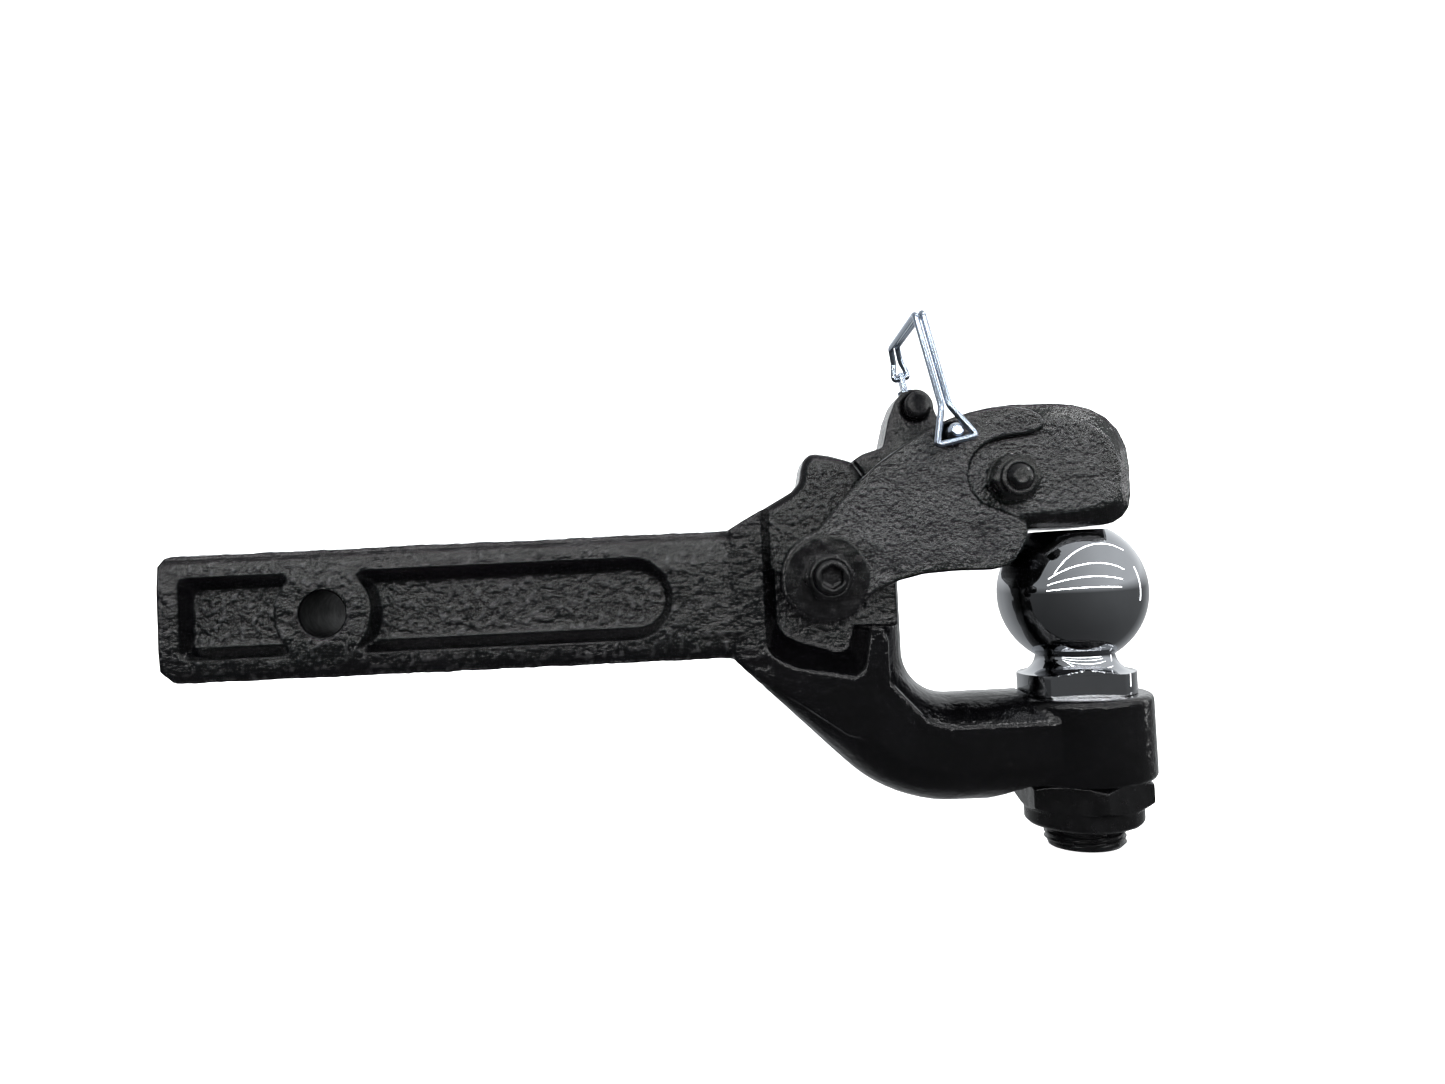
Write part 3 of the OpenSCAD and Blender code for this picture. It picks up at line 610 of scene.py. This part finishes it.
def tow_ball():
    flat_angle = math.degrees(math.asin(BALL_FLAT / BALL_R))
    neck_angle = -math.degrees(math.acos(NECK_R / BALL_R))
    ball = [(AXIS_R, BALL_FLAT), (12 * MM, BALL_FLAT)]
    ball += arc_points(0, 0, BALL_R, flat_angle, neck_angle, 90)
    ball += [(NECK_R, NECK_TOP_Z)]
    ball += arc_points(NECK_R + FLARE_R, FLARE_Z, FLARE_R, 180, 268, 24)
    base_top = BASE_HEIGHT - SEAT_DROP
    base = [(BASE_R, base_top), (BASE_R, -SEAT_DROP)]
    profile = ball + filleted([ball[-1]] + base + [(STUD_R, -SEAT_DROP)], 0.4 * MM)[1:]
    profile += [(STUD_R, -SEAT_DROP - CHROME_DROP), (AXIS_R, -SEAT_DROP - CHROME_DROP)]
    piece = turned("ball_chromed", profile, BALL, 224, wrench_flats)
    finish_piece(piece, "hitch", "chrome_ball", CHROME, "tow_ball")
    piece.data.set_sharp_from_angle(angle=math.radians(28))
    levels = np.arange(THREAD_DROP - 3 * MM, STUD_DROP - 1.6 * MM, THREAD_PITCH / 8)
    stud = [(AXIS_R, -SEAT_DROP - STUD_TOP_DROP), (STUD_R, -SEAT_DROP - STUD_TOP_DROP)]
    stud += [(STUD_R, -level) for level in levels]
    stud += [(STUD_R, STUD_CHAMFER - STUD_DROP), (STUD_R - STUD_CHAMFER, -STUD_DROP)]
    stud += [(AXIS_R, -STUD_DROP)]
    piece = turned("ball_stud_end", stud, BALL, 128, threaded)
    finish_piece(piece, "hitch", "black_bolt", FASTENER_PAINT, "tow_ball")
    piece.data.set_sharp_from_angle(angle=math.radians(50))


# ---------------------------------------------------------------- wire bail, bent

PIN_AXIS = Vector((242.9 * MM, 0, 57.3 * MM))
HEAD_LEAN = math.radians(11.5)
WIRE_R = 1.3 * MM
# The rest are in millimetres; places are from the pin's axis, before the lean is applied
WIRE_BEND = 2.0
WIRE_GAP = 1.45
HEAD_Y = 30.2
EYE_Z = 33.5
TOP_Z = 47.5
LOOP_Y = -38.7


def bent(path, bend, steps):
    """A path with each inner corner bent round."""
    points = [Vector(p) for p in path]
    out = [points[0]]
    for before, p, after in zip(points, points[1:], points[2:]):
        a = before - p
        b = after - p
        a = p + a.normalized() * min(bend, 0.45 * a.length)
        b = p + b.normalized() * min(bend, 0.45 * b.length)
        for k in range(steps + 1):
            t = k / steps
            out.append((1 - t) ** 2 * a + 2 * t * (1 - t) * p + t * t * b)
    return out + [points[-1]]


def tube(name, path, radius, sides):
    """A round bar along a path, closed at both ends."""
    last = len(path) - 1
    heading = [(path[min(i + 1, last)] - path[max(i - 1, 0)]).normalized() for i in range(last + 1)]
    across = heading[0].orthogonal().normalized()
    co = []
    for point, along in zip(path, heading):
        across = (across - along * across.dot(along)).normalized()
        other = along.cross(across)
        for j in range(sides):
            a = 2 * math.pi * j / sides
            co.append(point + radius * (math.cos(a) * across + math.sin(a) * other))
    faces = [list(reversed(range(sides))), [last * sides + j for j in range(sides)]]
    for i in range(last):
        for j in range(sides):
            k = (j + 1) % sides
            faces.append((i * sides + j, i * sides + k, (i + 1) * sides + k, (i + 1) * sides + j))
    mesh = bpy.data.meshes.new(name)
    mesh.from_pydata(co, [], faces)
    mesh.update()
    return new_object(name, mesh)


def wire_bail():
    gap = WIRE_GAP
    # Middle across the pin's head, half width there, Y and height, from the eye to the loop
    stations = [
        (0, 0.35, HEAD_Y, EYE_Z), (0, 3.2, HEAD_Y, EYE_Z), (0, 2.7, HEAD_Y, EYE_Z + 3.6),
        (0, gap + 0.15, HEAD_Y, EYE_Z + 7), (0, gap, HEAD_Y - 1.5, TOP_Z), (-1, gap, -29.5, TOP_Z),
        (-2.2, gap, LOOP_Y + 1.2, 9.9), (-1.5, 7.5, LOOP_Y, -3.8),
    ]
    left = [(middle - half, y, z) for middle, half, y, z in stations]
    right = [(middle + half, y, z) for middle, half, y, z in reversed(stations)]
    turn = Matrix.Rotation(-HEAD_LEAN, 4, "Y")
    path = [PIN_AXIS + turn @ (Vector(p) * MM) for p in bent(left + right, WIRE_BEND, 8)]
    piece = tube("bail_wire", path, WIRE_R, 20)
    finish_piece(piece, "bail", slot_of("wire_bail"), ZINC, "wire_bail")
    piece.data.set_sharp_from_angle(angle=math.radians(60))


forged_body()
cast_jaw()
tow_ball()
wire_bail()
# Node, voxel, material, smoothing steps and height of the waves
for part in (
    ("latch", 0.6 * MM, LATCH_PAINT, 4, 0.08 * MM),
    ("pivot_washers", 0.4 * MM, FASTENER_PAINT, 1, 0.08 * MM),
    ("pivot_nut", 0.3 * MM, FASTENER_PAINT, 2, 0.04 * MM),
    ("pivot_bolt", 0.4 * MM, FASTENER_PAINT, 2, 0.04 * MM),
    ("latch_washers", 0.35 * MM, FASTENER_PAINT, 1, 0.05 * MM),
    ("latch_nut", 0.28 * MM, FASTENER_PAINT, 1, 0.03 * MM),
    ("latch_bolt", 0.28 * MM, FASTENER_PAINT, 1, 0.02 * MM),
    ("latch_handle_bar", 0.35 * MM, FASTENER_PAINT, 1, 0.05 * MM),
    ("ball_nut", 0.5 * MM, FASTENER_PAINT, 1, 0.1 * MM),
    ("safety_pin", 0.3 * MM, ZINC, 2, 0.0),
):
    softened(*part)

for name, material in (
    ("pivot_bush", STEEL), ("latch_sleeve", STEEL), ("latch_spring", STEEL),
    ("pivot_nut_insert", NYLON), ("ball_nut_insert", NYLON), ("latch_nut_insert", NYLON),
):
    cad = frame["nodes"][name]
    cad.data.materials.clear()
    cad.data.materials.append(material)

# ---------------------------------------------------------------- camera, floor and light

CAMERA_PLACE = Vector((0.1524, -0.3962, 0.0097))
CAMERA_LENS = 24.2
CAMERA_YAW = math.radians(-0.23)
CAMERA_PITCH = math.radians(1.63)
CAMERA_ROLL = math.radians(2.67)
CEILING = 1.5
ROW_ANGLE = 0.018
ROW_SPREAD = 3.2
ROW_SHIFT = 0.3
ROW_GLOW = 95.0
ROW_RISES = (8, 24, 44, 72)
LEAST_SLOPE = 0.17
WINDOW_PLACE = (3.2, 0.6, 0.2)
WINDOW_WIDTH = 0.16
WINDOW_HEIGHT = 1.4
WINDOW_POWER = 5
SENSOR_WIDTH = 36.0
CLIP_START = 0.01
FLOOR_GAP = 0.6 * MM
FLOOR_GLOW = 1.1
FLOOR_TONES = (0.80, 0.80, 0.80, 1), (0.84, 0.84, 0.84, 1)
WALL_TOP = 4.0
ROOM_TINT = (0.95, 0.98, 1.0, 1)
FRONT_GLOW = 0.8
BACK_GLOW = 0.4
LEAST_GLOW = 0.01


def camera():
    data = bpy.data.cameras.new("camera")
    data.sensor_width = SENSOR_WIDTH
    data.lens = CAMERA_LENS
    data.clip_start = CLIP_START
    view = bpy.data.objects.new("camera", data)
    bpy.context.scene.collection.objects.link(view)
    level = Matrix.Rotation(math.radians(90), 4, "X")
    turn = Matrix.Rotation(CAMERA_YAW, 4, "Z") @ Matrix.Rotation(CAMERA_PITCH, 4, "X")
    view.matrix_world = (
        Matrix.Translation(CAMERA_PLACE) @ turn @ Matrix.Rotation(CAMERA_ROLL, 4, "Y") @ level)
    bpy.context.scene.camera = view


def studio_bowl():
    """A flat, pale, glowing floor that curves up into a wall; glossy rays do not see it."""
    floor_z = cad_box[0][2] - FLOOR_GAP
    flat, rise, segments = 1.6, 1.4, 72
    profile = [(0.0, 0.0), (0.5 * flat, 0.0), (flat, 0.0)]
    profile += [(flat + rise * math.sin(a), rise * (1 - math.cos(a)))
                for a in np.radians(np.linspace(8, 90, 12))]
    profile.append((flat + rise, WALL_TOP))
    net = bmesh.new()
    rings = []
    for r, z in profile[1:]:
        rings.append([net.verts.new((r * math.cos(a) + BALL.x / 2, r * math.sin(a), floor_z + z))
                      for a in np.linspace(0, 2 * math.pi, segments, endpoint=False)])
    net.faces.new(rings[0])
    for inner, outer in zip(rings, rings[1:]):
        for i in range(segments):
            k = (i + 1) % segments
            net.faces.new((inner[i], outer[i], outer[k], inner[k]))
    mesh = bpy.data.meshes.new("studio_floor")
    net.to_mesh(mesh)
    net.free()
    shade_smooth(mesh)
    bowl = new_object("studio_floor", mesh)
    n = Nodes("pale_floor")
    mottle = n.noise(n.place(), 3.0)
    tone = n.mix(mottle, *FLOOR_TONES)
    mesh.materials.append(n.shader({
        "Base Color": tone, "Roughness": 0.9, "Specular IOR Level": 0.1,
        "Emission Color": tone, "Emission Strength": FLOOR_GLOW}))
    bowl.visible_glossy = False


def panel(name, place, aim, width, height, power):
    data = bpy.data.lights.new(name, "AREA")
    data.shape = "RECTANGLE"
    data.size = width
    data.size_y = height
    data.energy = power
    lamp = bpy.data.objects.new(name, data)
    bpy.context.scene.collection.objects.link(lamp)
    lamp.location = place
    lamp.rotation_euler = (Vector(aim) - Vector(place)).to_track_quat("-Z", "Y").to_euler()


def room():
    """What the gloss reflects: dark below the horizon, a mid-grey ceiling and a pale back."""
    n = Nodes("room", world=True)
    direction = n.add("ShaderNodeTexCoord").outputs["Generated"]
    split = n.add("ShaderNodeSeparateXYZ", {"Vector": direction})
    x, y, z = split.outputs
    wall = n.range(z, 0.0, 0.16, 0.17, 1.0)
    ground = n.range(z, -0.9, -0.1, 0.5, 1.0)
    back = n.range(y, 0.3, 0.85, 0.0, 1.0)
    side = n.range(x, -0.8, 0.8, 0.5, 1.2)
    front = n.math("MULTIPLY", n.math("MULTIPLY", wall, ground), FRONT_GLOW)
    level = n.math("ADD", n.math("MULTIPLY", front, side), n.math("MULTIPLY", back, BACK_GLOW))
    strength = n.math("ADD", level, LEAST_GLOW)
    light = n.add("ShaderNodeBackground", {"Color": ROOM_TINT, "Strength": strength})
    output = n.add("ShaderNodeOutputWorld")
    n.tree.links.new(light.outputs[0], output.inputs[0])
    bpy.context.scene.world = n.holder


camera()
studio_bowl()
room()
for row, rise in enumerate(ROW_RISES):
    lift = math.radians(rise)
    reach = CEILING / max(math.sin(lift), LEAST_SLOPE)
    spot = BALL + Vector((ROW_SHIFT, -reach * math.cos(lift), reach * math.sin(lift)))
    long, wide = ROW_SPREAD * reach, ROW_ANGLE * reach
    panel(f"ceiling_row_{row}", spot, BALL, long, wide, ROW_GLOW * long * wide)
panel("window_right", WINDOW_PLACE, BALL, WINDOW_WIDTH, WINDOW_HEIGHT, WINDOW_POWER)
bpy.context.scene.view_settings.view_transform = "Standard"
